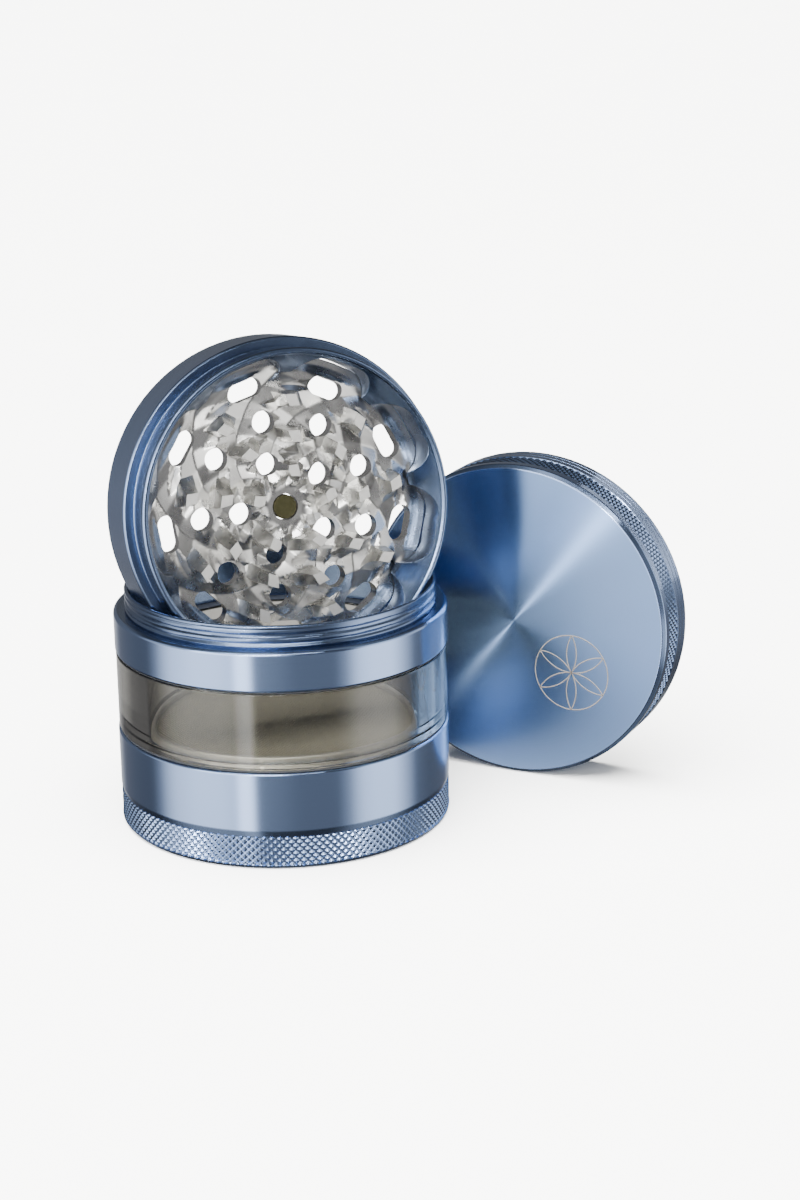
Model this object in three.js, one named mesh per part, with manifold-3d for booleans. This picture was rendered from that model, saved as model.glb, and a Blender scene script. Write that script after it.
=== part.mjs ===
// Four-piece herb grinder, 63 mm across, taken apart on a table.
// The collecting cup and the glass window chamber stand screwed together at
// the origin, the grinding ring leans back in the chamber's mouth, and the
// lid stands on its rim beside them. Millimetres, +Z up, front towards -Y.
import * as THREE from 'three';
import { mergeVertices } from 'three/addons/utils/BufferGeometryUtils.js';
import Module from 'manifold-3d';

const SEGMENTS = 60;

// Shared diameters
const OUTER_R = 31.5;
const LIP_R = 29.3;
const MOUTH_R = 28.6;
const EDGE = 0.35;
const GAP = 0.3;
const SEAT = 0.08;

// Collecting cup
const CUP_HEIGHT = 18.5;
const CUP_FLOOR = 2.5;
const CUP_BORE_R = 27.5;
const CUP_THREAD_R = 29.3;
const CUP_THREAD_Z = 13.4;
const FOOT_CHAMFER = 0.7;

// Window chamber
const SEAL_THICK = 0.25;
const GLASS_Z0 = 18.95;
const GLASS_Z1 = 33.45;
const GLASS_R = 31.35;
const GLASS_BORE_R = 25.9;
const COLLAR_Z0 = 33.8;
const COLLAR_Z1 = 41.4;
const LIP_TOP = 45.6;
const SKIRT_R = 28.9;
const SKIRT_Z0 = 13.95;
const SKIRT_BORE_R = 24.2;
const SCREEN_R = 25.2;
const SCREEN_THICK = 0.25;
const CLAMP_R = 25.5;
const CLAMP_BORE_R = 24.4;
const CLAMP_Z1 = 20.1;

// Grinding ring, heights along its own axis from the band's front shoulder
const RING_BAND = 10.8;
const RING_LIP = 5.9;
const RING_LIP_R = 29.7;
const RING_WALL_R = 28.6;
const RING_FOOT_R = 24.9;
const POCKET_R = 28.3;
const RING_BORE_R = 29.9;
const PLATE_R = 28.0;
const PLATE_FRONT = -1.5;
const PLATE_THICK = 2.1;
const TOOTH_TOP = 4.5;

// Hole pattern of the grinding floor
const SLOT_COUNT = 9;
const SLOT_R = 23.1;
const SLOT_LENGTH = 6.9;
const SLOT_WIDTH = 3.5;
const SLOT_START = 26;
const SCALLOP_LENGTH = 15;
const SCALLOP_WIDTH = 10;
const HOLE_D = 4.3;
const MIDDLE_HOLES = { count: 9, radius: 16.4, start: 21.5 };
const INNER_HOLES = { count: 5, radius: 8.8, start: 38 };
const RING_TEETH = [
  { count: 5, radius: 7.4, start: 15 },
  { count: 9, radius: 13.6, start: 5 },
  { count: 9, radius: 20.2, start: 7 },
];

// Magnets
const MAGNET_R = 2.25;
const MAGNET_THICK = 1.9;

// Lid, heights along its own axis from the face backwards
const LID_LENGTH = 12.1;
const LID_TOP = 2.2;
const LID_BORE_R = 30.0;
const LID_CAVITY_R = 28.4;
const LID_STEP = 5.2;
const LID_CHAMFER = 0.7;
const LID_PLATE_THICK = 1.6;
const LID_TOOTH_TIP = 11.4;
const LID_BOSS_R = 3.8;
const LID_BOSS_TIP = 10.6;
const LID_TEETH = [
  { count: 5, radius: 10.5, start: 0 },
  { count: 9, radius: 16.9, start: 12 },
  { count: 9, radius: 23.4, start: 30 },
];

// Where the loose pieces rest
const RING_AXIS_CROSSING = 5.6;
const RING_CENTRE_Z = 60.1;
const RING_YAW = 20.1;
const RING_LEAN = 7.2;
const LID_FACE = [45.5, 13.6];
const LID_YAW = -28.9;

const wasm = await Module();
wasm.setup();

// Closed three.js geometry to a manifold solid and back.
function toSolid(geometry) {
  const bare = geometry.index ? geometry.toNonIndexed() : geometry.clone();
  bare.deleteAttribute('normal');
  bare.deleteAttribute('uv');
  const merged = mergeVertices(bare, 1e-4);
  return new wasm.Manifold(new wasm.Mesh({
    numProp: 3,
    vertProperties: new Float32Array(merged.attributes.position.array),
    triVerts: new Uint32Array(merged.index.array),
  }));
}

function toGeometry(solid) {
  const mesh = solid.getMesh();
  const geometry = new THREE.BufferGeometry();
  const positions = new Float32Array(mesh.vertProperties);
  geometry.setAttribute('position', new THREE.BufferAttribute(positions, 3));
  geometry.setIndex(new THREE.BufferAttribute(new Uint32Array(mesh.triVerts), 1));
  geometry.computeVertexNormals();
  return geometry;
}

// Body of revolution about +Z from [radius, height] pairs that run
// anticlockwise; an open profile starts and ends on the axis.
function turned(profile, segments = SEGMENTS) {
  const closed = profile[0][0] > 0;
  const points = profile.map(([r, z]) => new THREE.Vector2(r, z));
  if (closed) points.push(points[0].clone());
  const geometry = new THREE.LatheGeometry(points, segments);
  geometry.rotateX(Math.PI / 2);
  return geometry;
}

function drum(radius, z0, z1, segments = 14) {
  const geometry = new THREE.CylinderGeometry(radius, radius, z1 - z0, segments);
  geometry.rotateX(Math.PI / 2);
  geometry.translate(0, 0, (z0 + z1) / 2);
  return geometry;
}

function onCircle(geometry, radius, angle) {
  const placed = geometry.clone();
  placed.translate(radius, 0, 0);
  placed.rotateZ(THREE.MathUtils.degToRad(angle));
  return placed;
}

// Round-ended slot, its long side along the circumference at radius SLOT_R.
function slot(length, width, z0, z1) {
  const half = (length - width) / 2;
  const shape = new THREE.Shape();
  shape.absarc(0, half, width / 2, 0, Math.PI, false);
  shape.absarc(0, -half, width / 2, Math.PI, 2 * Math.PI, false);
  const geometry = new THREE.ExtrudeGeometry(shape, {
    depth: z1 - z0, bevelEnabled: false, curveSegments: 4,
  });
  geometry.translate(0, 0, z0);
  return geometry;
}

// Shark-fin tooth at the origin: upright leading face towards +Y, a ramp
// running down behind it, and a small flat on top.
function tooth(base, tip, width, length, flat) {
  const profile = new THREE.Shape();
  profile.moveTo(length * 0.3, base);
  profile.lineTo(length * 0.22, tip);
  profile.lineTo(length * 0.22 - flat, tip);
  profile.lineTo(-length * 0.45, base + (tip - base) * 0.35);
  profile.lineTo(-length * 0.7, base);
  profile.closePath();
  const geometry = new THREE.ExtrudeGeometry(profile, { depth: width, bevelEnabled: false });
  geometry.translate(0, 0, -width / 2);
  // profile plane (along, height) with its thickness across -> (across, along, height)
  const swap = new THREE.Matrix4().set(
    0, 0, 1, 0,
    1, 0, 0, 0,
    0, 1, 0, 0,
    0, 0, 0, 1,
  );
  geometry.applyMatrix4(swap);
  return geometry;
}

function circleOf(pattern, geometry, visit) {
  for (let i = 0; i < pattern.count; i += 1) {
    visit(onCircle(geometry, pattern.radius, pattern.start + (360 / pattern.count) * i));
  }
}

const object = new THREE.Group();

function add(name, geometry, colour, roughness, metalness, parent = object) {
  const material = new THREE.MeshStandardMaterial({ color: colour, roughness, metalness });
  const mesh = new THREE.Mesh(geometry, material);
  mesh.name = name;
  parent.add(mesh);
  return mesh;
}

const BLUE = 0x6f92bd;
const SILVER = 0xb4b4b0;
const SEAL_BLACK = 0x24262a;
const MAGNET_GREY = 0x2b2a22;

// ---- Collecting cup: closed foot, bowl and a threaded mouth inside the rim
add('base_cup', turned([
  [0, 0],
  [OUTER_R - FOOT_CHAMFER, 0],
  [OUTER_R, FOOT_CHAMFER],
  [OUTER_R, CUP_HEIGHT - EDGE],
  [OUTER_R - EDGE, CUP_HEIGHT],
  [CUP_THREAD_R + EDGE, CUP_HEIGHT],
  [CUP_THREAD_R, CUP_HEIGHT - EDGE],
  [CUP_THREAD_R, CUP_THREAD_Z],
  [CUP_BORE_R, CUP_THREAD_Z - 0.5],
  [CUP_BORE_R, CUP_FLOOR + 3],
  [CUP_BORE_R - 0.7, CUP_FLOOR + 1.2],
  [CUP_BORE_R - 2.4, CUP_FLOOR + 0.2],
  [CUP_BORE_R - 4, CUP_FLOOR],
  [0, CUP_FLOOR],
]), BLUE, 0.3, 1);

// Flat seal lying on the cup's rim
add('cup_seal', turned([
  [CUP_THREAD_R + 0.1, CUP_HEIGHT + SEAT],
  [OUTER_R - EDGE, CUP_HEIGHT + SEAT],
  [OUTER_R - EDGE, CUP_HEIGHT + SEAT + SEAL_THICK],
  [CUP_THREAD_R + 0.1, CUP_HEIGHT + SEAT + SEAL_THICK],
]), SEAL_BLACK, 0.7, 0);

// ---- Window chamber: threaded skirt, screen, glass and threaded collar
const skirtTop = CUP_HEIGHT + SEAT + SEAL_THICK - SCREEN_THICK;
add('chamber_skirt', turned([
  [SKIRT_BORE_R, SKIRT_Z0],
  [SKIRT_R - EDGE, SKIRT_Z0],
  [SKIRT_R, SKIRT_Z0 + EDGE],
  [SKIRT_R, skirtTop],
  [SKIRT_BORE_R, skirtTop],
]), BLUE, 0.3, 1);

add('screen_mesh', turned([
  [0, skirtTop + SEAT],
  [SCREEN_R, skirtTop + SEAT],
  [SCREEN_R, skirtTop + SEAT + SCREEN_THICK],
  [0, skirtTop + SEAT + SCREEN_THICK],
]), 0x6b6a60, 0.55, 0.7);

const clampZ0 = skirtTop + SCREEN_THICK + 2 * SEAT;
add('screen_clamp_ring', turned([
  [CLAMP_BORE_R, clampZ0],
  [CLAMP_R, clampZ0],
  [CLAMP_R, CLAMP_Z1 - 0.25],
  [CLAMP_R - 0.25, CLAMP_Z1],
  [CLAMP_BORE_R + 0.4, CLAMP_Z1],
  [CLAMP_BORE_R, CLAMP_Z1 - 0.4],
]), SILVER, 0.3, 1);

add('window_glass', turned([
  [GLASS_BORE_R, GLASS_Z0],
  [GLASS_R - 0.2, GLASS_Z0],
  [GLASS_R, GLASS_Z0 + 0.2],
  [GLASS_R, GLASS_Z1 - 0.2],
  [GLASS_R - 0.2, GLASS_Z1],
  [GLASS_BORE_R, GLASS_Z1],
]), 0xdfe3e2, 0.05, 0);

add('window_seal', turned([
  [GLASS_BORE_R + 0.3, GLASS_Z1 + SEAT],
  [OUTER_R - EDGE, GLASS_Z1 + SEAT],
  [OUTER_R - EDGE, COLLAR_Z0 - SEAT],
  [GLASS_BORE_R + 0.3, COLLAR_Z0 - SEAT],
]), SEAL_BLACK, 0.7, 0);

add('chamber_collar', turned([
  [MOUTH_R, COLLAR_Z0],
  [OUTER_R - EDGE, COLLAR_Z0],
  [OUTER_R, COLLAR_Z0 + EDGE],
  [OUTER_R, COLLAR_Z1 - 0.7],
  [OUTER_R - 0.25, COLLAR_Z1 - 0.2],
  [OUTER_R - 0.8, COLLAR_Z1],
  [LIP_R - 0.35, COLLAR_Z1],
  [LIP_R - 0.35, COLLAR_Z1 + 0.9],
  [LIP_R, COLLAR_Z1 + 1.2],
  [LIP_R, LIP_TOP - 0.4],
  [LIP_R - 0.3, LIP_TOP],
  [MOUTH_R + 0.2, LIP_TOP],
  [MOUTH_R, LIP_TOP - 0.2],
]), BLUE, 0.3, 1);

// ---- Grinding ring: its own +Z is the way its open side faces
const ring = new THREE.Group();
const degrees = THREE.MathUtils.degToRad;
ring.rotation.set(degrees(90 - RING_LEAN), 0, degrees(RING_YAW), 'ZXY');
const ringAxis = new THREE.Vector3(0, 0, 1).applyEuler(ring.rotation);
ring.position.set(0, 0, RING_CENTRE_Z).addScaledVector(ringAxis, RING_AXIS_CROSSING);
object.add(ring);

const plateBack = PLATE_FRONT - PLATE_THICK;
const pocketZ = PLATE_FRONT + GAP;
const slotCut = slot(SLOT_LENGTH, SLOT_WIDTH, plateBack - 1, PLATE_FRONT + 1);
const scallop = slot(SCALLOP_LENGTH, SCALLOP_WIDTH, pocketZ - 1, RING_LIP + 1);
const slots = { count: SLOT_COUNT, radius: SLOT_R, start: SLOT_START };

// The inner wall leans in towards the floor, and each slot has a scallop
// milled down that wall.
let shell = toSolid(turned([
  [POCKET_R, pocketZ],
  [POCKET_R, plateBack - GAP],
  [RING_BORE_R, plateBack - GAP],
  [RING_BORE_R, -RING_BAND + EDGE],
  [RING_BORE_R + EDGE, -RING_BAND],
  [OUTER_R - EDGE, -RING_BAND],
  [OUTER_R, -RING_BAND + EDGE],
  [OUTER_R, -EDGE],
  [OUTER_R - EDGE, 0],
  [RING_LIP_R - 0.2, 0],
  [RING_LIP_R - 0.2, 1.3],
  [RING_LIP_R, 1.6],
  [RING_LIP_R, RING_LIP - EDGE],
  [RING_LIP_R - EDGE, RING_LIP],
  [RING_WALL_R + 0.3, RING_LIP],
  [RING_WALL_R, RING_LIP - 0.3],
  [RING_FOOT_R + 0.7, pocketZ + 1],
  [RING_FOOT_R, pocketZ + 0.3],
  [RING_FOOT_R, pocketZ],
]));
circleOf(slots, scallop, (cut) => {
  shell = shell.subtract(toSolid(cut));
});
add('ring_shell', toGeometry(shell), BLUE, 0.25, 1, ring);

let plate = toSolid(turned([
  [0, plateBack],
  [PLATE_R, plateBack],
  [PLATE_R, PLATE_FRONT],
  [0, PLATE_FRONT],
]));
for (const row of RING_TEETH) {
  circleOf(row, tooth(PLATE_FRONT - 0.5, TOOTH_TOP, 2.4, 6.2, 2.0), (fin) => {
    plate = plate.add(toSolid(fin));
  });
}
circleOf(slots, slotCut, (cut) => {
  plate = plate.subtract(toSolid(cut));
});
for (const row of [MIDDLE_HOLES, INNER_HOLES]) {
  circleOf(row, drum(HOLE_D / 2, plateBack - 1, PLATE_FRONT + 8), (cut) => {
    plate = plate.subtract(toSolid(cut));
  });
}
plate = plate.subtract(toSolid(drum(MAGNET_R + GAP, plateBack - 1, PLATE_FRONT + 1, 24)));
add('ring_tooth_plate', toGeometry(plate), SILVER, 0.35, 1, ring);
const ringMagnet = drum(MAGNET_R, PLATE_FRONT - MAGNET_THICK, PLATE_FRONT, 24);
add('ring_magnet', ringMagnet, MAGNET_GREY, 0.45, 0.6, ring);

// ---- Lid: its own +Z is the way its face looks
const lid = new THREE.Group();
lid.rotation.set(Math.PI / 2, 0, degrees(LID_YAW), 'ZXY');
lid.position.set(LID_FACE[0], LID_FACE[1], OUTER_R);
object.add(lid);

add('lid_shell', turned([
  [0, -LID_TOP],
  [LID_CAVITY_R, -LID_TOP],
  [LID_CAVITY_R, -LID_STEP],
  [LID_BORE_R, -LID_STEP - 0.4],
  [LID_BORE_R, -LID_LENGTH + EDGE],
  [LID_BORE_R + EDGE, -LID_LENGTH],
  [OUTER_R - EDGE, -LID_LENGTH],
  [OUTER_R, -LID_LENGTH + EDGE],
  [OUTER_R, -LID_CHAMFER],
  [OUTER_R - LID_CHAMFER, 0],
  [0, 0],
]), BLUE, 0.25, 1, lid);

const lidPlateZ = -LID_TOP - GAP;
let lidPlate = toSolid(turned([
  [0, lidPlateZ - LID_PLATE_THICK],
  [LID_CAVITY_R - GAP, lidPlateZ - LID_PLATE_THICK],
  [LID_CAVITY_R - GAP, lidPlateZ],
  [0, lidPlateZ],
]));
lidPlate = lidPlate.add(toSolid(drum(LID_BOSS_R, -LID_BOSS_TIP, lidPlateZ - 0.5, 32)));
for (const row of LID_TEETH) {
  const fin = tooth(-lidPlateZ + LID_PLATE_THICK - 0.5, LID_TOOTH_TIP, 2.4, 6.2, 2.0);
  fin.rotateX(Math.PI);
  circleOf(row, fin, (placed) => {
    lidPlate = lidPlate.add(toSolid(placed));
  });
}
const recess = drum(MAGNET_R + GAP, -LID_BOSS_TIP - 1, -LID_BOSS_TIP + MAGNET_THICK + GAP, 24);
lidPlate = lidPlate.subtract(toSolid(recess));
add('lid_tooth_plate', toGeometry(lidPlate), SILVER, 0.35, 1, lid);
const lidMagnet = drum(MAGNET_R, -LID_BOSS_TIP, -LID_BOSS_TIP + MAGNET_THICK, 24);
add('lid_magnet', lidMagnet, MAGNET_GREY, 0.45, 0.6, lid);

export default object;
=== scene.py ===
"""Four-piece herb grinder, 63 mm across, taken apart on a table.

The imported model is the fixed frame. Every visible piece is worked out here
in millimetres about its own turning axis, placed in the frame's metres, and
rides on the body of the CAD node it stands for.
"""
import math

import bpy
import numpy as np
from bpy.props import FloatProperty, FloatVectorProperty, IntProperty, PointerProperty
from mathutils import Matrix, Vector


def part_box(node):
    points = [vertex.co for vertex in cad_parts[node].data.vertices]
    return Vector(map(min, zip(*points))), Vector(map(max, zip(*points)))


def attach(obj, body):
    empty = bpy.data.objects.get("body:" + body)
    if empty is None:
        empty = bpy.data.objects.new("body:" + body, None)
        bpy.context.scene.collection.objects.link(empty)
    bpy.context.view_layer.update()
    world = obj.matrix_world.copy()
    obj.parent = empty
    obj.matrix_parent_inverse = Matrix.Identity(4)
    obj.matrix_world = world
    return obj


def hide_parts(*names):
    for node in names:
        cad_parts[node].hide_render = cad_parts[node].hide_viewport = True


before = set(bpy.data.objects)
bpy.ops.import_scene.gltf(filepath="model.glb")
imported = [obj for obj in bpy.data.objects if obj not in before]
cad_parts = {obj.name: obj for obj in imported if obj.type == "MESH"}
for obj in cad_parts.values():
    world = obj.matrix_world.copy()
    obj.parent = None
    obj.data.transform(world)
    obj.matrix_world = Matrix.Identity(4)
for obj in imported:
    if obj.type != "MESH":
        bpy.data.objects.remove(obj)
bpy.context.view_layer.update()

bl_info = {
    "name": "Window grinder",
    "version": (1, 0, 0),
    "blender": (4, 5, 0),
    "location": "3D View > Sidebar > Grinder",
    "description": "Builds a four-piece herb grinder around its packed frame",
    "category": "Object",
}

MM = 0.001
TURN = 2 * math.pi

# Radii shared by several pieces, as in the solids, in millimetres
OUTER_R = 31.5
LIP_R = 29.3
MOUTH_R = 28.6
KNURL_R = 31.46

# Heights of the cup and chamber
CUP_TOP = 18.5
COLLAR_FOOT = 33.8
COLLAR_TOP = 41.4
COLLAR_THREAD_START = 42.5
LIP_TOP = 45.6

# Radii of the chamber's skirt, glass and seals
SKIRT_R = 28.9
SKIRT_BORE_R = 24.2
GLASS_BORE_R = 25.9
SEAL_R = 31.15

# Screen: the turn of its wires in degrees, and how far each layer lies from the
# screen's middle in wire radii, less than one because woven wires sink into each other
WEAVE_ANGLE = 34
WEAVE_LIFT = 0.7

# Heights along the ring's axis from its front shoulder, then the radius of its
# leaning inner wall at the top and at the foot, and the power that bows it
RING_BACK = -10.8
RING_LIP = 5.9
PLATE_FRONT = -1.5
PLATE_BACK = -3.6
POCKET_Z = -1.2
WALL_TOP_Z = 5.3
TOOTH_TOP = 4.5
WALL_TOP_R = 28.6
WALL_FOOT_R = 24.9
WALL_BOW = 1.15

# Slots in the ring's floor: count, radius, first angle in degrees and size, and
# the wider flute that the ring's wall has over each
SLOT_COUNT = 9
SLOT_R = 23.1
SLOT_START = 26.0
SLOT_LENGTH = 6.9
SLOT_WIDTH = 3.5
FLUTE_HALF_STRAIGHT = 2.5
FLUTE_HALF_WIDTH = 5.0

# Ramps of the ring's floor: their height, the share of it that is left between two
# rows, the distance from row to row and its shift in rows, how far out a ridge
# runs while it drifts by one ramp, and where they start and stop with their fades.
# The twist is the ridge that runs the other way, shifted in ramps.
RAMP_HEIGHT = 1.3
RAMP_SADDLE = 0.4
RAMP_ROW = 3.1
RAMP_SHIFT = 0.2
RAMP_DRIFT = 11
RAMP_FADES = ((3.6, 1.5), (26.6, 1.4))
TWIST_HEIGHT = 0.5
TWIST_DRIFT = 7
TWIST_SHIFT = 0.35

# Heights along the lid's axis from its face
LID_BACK = -12.1
LID_PLATE_TOP = -2.5
LID_PLATE_BOTTOM = -4.1
LID_TOOTH_TIP = -11.4
LID_BOSS_TIP = -10.6

# Rows of teeth and holes: count, radius, first angle in degrees
RING_TEETH = ((5, 7.4, 15.0), (9, 13.6, 5.0), (9, 20.2, 7.0))
RING_HOLES = ((9, 16.4, 21.5), (5, 8.8, 38.0))
LID_TEETH = ((5, 10.5, 0.0), (9, 16.9, 12.0), (9, 23.4, 30.0))

# Radii of the round holes, the magnets and the pockets that they sit in
HOLE_R = 2.15
MAGNET_R = 2.25
MAGNET_POCKET_R = 2.5
MAGNET_DEPTH = 1.9

# Ramp of a tooth, from its foot to the upright face: the distance along the tooth
# in millimetres and the share of the full height there. Then half its width at
# three distances, how much narrower its top is, and how far it leans along.
TOOTH_RAMP = (
    (-4.6, 0.02), (-4.0, 0.10), (-3.3, 0.19), (-2.6, 0.31), (-1.9, 0.47), (-1.3, 0.68),
    (-0.75, 1.0), (1.30, 1.0), (1.62, 0.45), (1.95, 0.03))
TOOTH_HALF_WIDTHS = ((-4.6, 0.9), (-2.0, 1.55), (1.95, 1.45))
TOOTH_TAPER = 0.5
TOOTH_SHEAR = 0.35

# How finely the surfaces are divided
COLUMNS = 360
RING_COLUMNS = 900
WALL_ROWS = 40
FLOOR_COLUMNS = 720
FLOOR_ROWS = 100
MAGNET_COLUMNS = 96
KNURL_SAMPLES = 6
THREAD_STEP = 0.1
WIRE_SIDES = 6

# Rosette on the lid: its centre and radius on the face, its petals, and the heights
# that its lines reach down to in the face and up to
MARK_CENTRE = (12.3, -9.05)
MARK_R = 7.6
MARK_PETALS = 6
MARK_SPAN = (-0.02, 0.03)

# Places of the ring and lid: a point on the axis, swing about the vertical and
# lean back in degrees, and how far the ring's shoulder stands out from its point
RING_POINT = (0, 0, 60.1)
RING_SWING = 20.1
RING_LEAN = 7.2
RING_SHOULDER = 5.6
LID_POINT = (45.5, 13.6, 31.5)
LID_SWING = -28.9

# Studio panels below and above eye level: azimuth in degrees (0 is the front, 90
# the right) and brightness. They dim by a share that depends on height, from 0
# straight down to 1 straight up, and the darker a panel is the bluer it is.
LOWER_PANELS = (
    (-180, 0.22), (-168, 0.2), (-148, 0.045), (-104, 0.035), (-96, 0.1), (-82, 0.45),
    (-68, 0.56), (-44, 0.56), (-35, 0.46), (-31, 1.0), (-24, 1.0), (-20, 0.068),
    (36, 0.068), (44, 0.16), (54, 0.5), (64, 0.58), (80, 0.56), (90, 0.3), (102, 0.06),
    (118, 0.04), (150, 0.04), (162, 0.2), (179, 0.22))
UPPER_PANELS = (
    (-180, 0.035), (-112, 0.045), (-96, 0.16), (-66, 0.22), (-60, 1.0), (-32, 0.75),
    (-14, 0.3), (-2, 0.22), (8, 0.035), (48, 0.035), (58, 0.35), (74, 0.35), (90, 0.2),
    (114, 0.2), (126, 0.06), (142, 0.035))
HEIGHT_SHARES = ((0.22, 0.13), (0.335, 1.0), (0.7, 1.0), (0.8, 0.22))
DARK_TINT = 0.08
PANEL_STRENGTH = 5.0

# Upward share of a direction, between which the lower panels give way to the upper
EYE_LEVEL = (-0.16, -0.06)

# Strength of the plain surround that only the camera sees
BACKDROP_STRENGTH = 8.0

# Area lamps: name, azimuth and elevation in degrees, distance and size in metres,
# watts, and roll in degrees. Then the point that they face, and the wide wash:
# strength, spread and tilt in degrees.
LAMPS = (
    ("key", -16.5, 22, 0.9, (0.03, 0.6), 4.5, -42),
    ("strip", -10, 52, 1.0, (1.0, 0.08), 2.6, 0),
    ("rim", 134, 14, 0.8, (0.03, 0.6), 0.25, -42))
LAMP_TARGET = (0.02, 0, 0.04)
WASH_STRENGTH = 30.0
WASH_SPREAD = 70
WASH_TILT = (12, -10)

# Table, in millimetres, and camera: lens and sensor in millimetres, place in
# metres, and its turn to the right, down and clockwise in degrees
TABLE_REACH = 4000.0
TABLE_Z = -0.03
CAMERA_LENS = 71.39
CAMERA_SENSOR = 36
CAMERA_CLIP = (0.01, 50)
CAMERA_PLACE = (0, -0.43022, 0.17268)
CAMERA_TURN = (3.0027, 17.0276, 0.8782)


def linear(hex_colour):
    """Linear RGB of an sRGB hex colour."""
    parts = [int(hex_colour[i:i + 2], 16) / 255 for i in (1, 3, 5)]
    return [c / 12.92 if c <= 0.04045 else ((c + 0.055) / 1.055) ** 2.4 for c in parts]


class GrinderSizes(bpy.types.PropertyGroup):
    """Sizes of the fine detail that the solids leave out."""

    knurl_count: IntProperty(
        name="Knurl count", description="Diamonds round each knurled band",
        default=136, min=60, max=200)
    knurl_pitch: FloatProperty(
        name="Knurl height", description="Height of one knurl diamond",
        default=0.00146, min=0.0008, max=0.003, precision=5, unit="LENGTH")
    knurl_depth: FloatProperty(
        name="Knurl depth", description="Depth of the knurl's grooves",
        default=0.00034, min=0.0001, max=0.0006, precision=5, unit="LENGTH")
    thread_pitch: FloatProperty(
        name="Thread pitch", description="Rise of the threads in one turn",
        default=0.0016, min=0.001, max=0.003, precision=5, unit="LENGTH")
    thread_depth: FloatProperty(
        name="Thread depth", description="Depth of the threads",
        default=0.00036, min=0.0001, max=0.0005, precision=5, unit="LENGTH")
    edge: FloatProperty(
        name="Edge break", description="Rounding of the turned edges",
        default=0.00018, min=0.00005, max=0.0004, precision=5, unit="LENGTH")
    screen_pitch: FloatProperty(
        name="Screen pitch", description="Distance between the screen's wires",
        default=0.0005, min=0.0002, max=0.001, precision=5, unit="LENGTH")
    wire: FloatProperty(
        name="Wire diameter", description="Diameter of the screen's wires",
        default=0.0002, min=0.00005, max=0.0004, precision=5, unit="LENGTH")
    mark_line: FloatProperty(
        name="Mark line", description="Width of the lines engraved on the lid",
        default=0.00022, min=0.0001, max=0.001, precision=5, unit="LENGTH")


class GrinderColours(bpy.types.PropertyGroup):
    """Base colours of the finishes."""

    anodised: FloatVectorProperty(
        name="Anodised", description="Dyed aluminium of the turned pieces",
        default=linear("#9bb3dc"), size=3, min=0, max=1, subtype="COLOR")
    # Darker copy of the anodised colour for the lid's face: painted shade
    face: FloatVectorProperty(
        name="Lid face", description="Dyed aluminium of the lid's turned face",
        default=linear("#84a2d0"), size=3, min=0, max=1, subtype="COLOR")
    machined: FloatVectorProperty(
        name="Machined", description="Bare cut aluminium of the tooth plates",
        default=linear("#dddcd8"), size=3, min=0, max=1, subtype="COLOR")
    wire: FloatVectorProperty(
        name="Wire", description="Stainless wire of the screen",
        default=linear("#9c998b"), size=3, min=0, max=1, subtype="COLOR")
    rubber: FloatVectorProperty(
        name="Rubber", description="Black rubber of the flat seals",
        default=linear("#1d2026"), size=3, min=0, max=1, subtype="COLOR")
    glass: FloatVectorProperty(
        name="Glass", description="Window glass, looked at square on",
        default=linear("#cbc9c2"), size=3, min=0, max=1, subtype="COLOR")
    # Darker colour for the glass seen edge on: partly the longer path through it, partly painted
    # shade
    glass_side_shade: FloatVectorProperty(
        name="Glass sides", description="Window glass, looked at along its wall",
        default=linear("#8f8d86"), size=3, min=0, max=1, subtype="COLOR")
    glass_shadow: FloatVectorProperty(
        name="Glass shadow", description="Light that has come through the window",
        default=linear("#bebcb3"), size=3, min=0, max=1, subtype="COLOR")
    magnet: FloatVectorProperty(
        name="Magnet", description="Plated magnets",
        default=linear("#3b3924"), size=3, min=0, max=1, subtype="COLOR")
    mark: FloatVectorProperty(
        name="Mark", description="Engraved lines on the lid",
        default=linear("#6a6561"), size=3, min=0, max=1, subtype="COLOR")
    floor: FloatVectorProperty(
        name="Floor", description="Pale table",
        default=linear("#f4f4f2"), size=3, min=0, max=1, subtype="COLOR")


def sizes():
    """The sizes set in the sidebar."""
    return bpy.context.scene.grinder_sizes


def colours():
    """The colours set in the sidebar."""
    return bpy.context.scene.grinder_colours


# ---- Placings

def facing(origin, yaw, lean=0.0):
    """Placing of a piece whose own +Z looks to the front (-Y), swung by yaw about
    the vertical and leant back by lean, as a 3x4 array: columns right, up, out, origin."""
    yaw, lean = math.radians(yaw), math.radians(lean)
    out = np.array([
        math.sin(yaw) * math.cos(lean), -math.cos(yaw) * math.cos(lean), math.sin(lean)])
    right = np.array([math.cos(yaw), math.sin(yaw), 0.0])
    return np.column_stack([right, np.cross(out, right), out, np.asarray(origin, float)])


UPRIGHT = np.column_stack([np.eye(3), np.zeros(3)])
RING_OUT = facing((0, 0, 0), RING_SWING, RING_LEAN)[:, 2]
RING = facing(np.array(RING_POINT) + RING_SHOULDER * RING_OUT, RING_SWING, RING_LEAN)
LID = facing(LID_POINT, LID_SWING)


# ---- Surfaces, as (vertices, [faces], [UVs]) in millimetres

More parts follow.
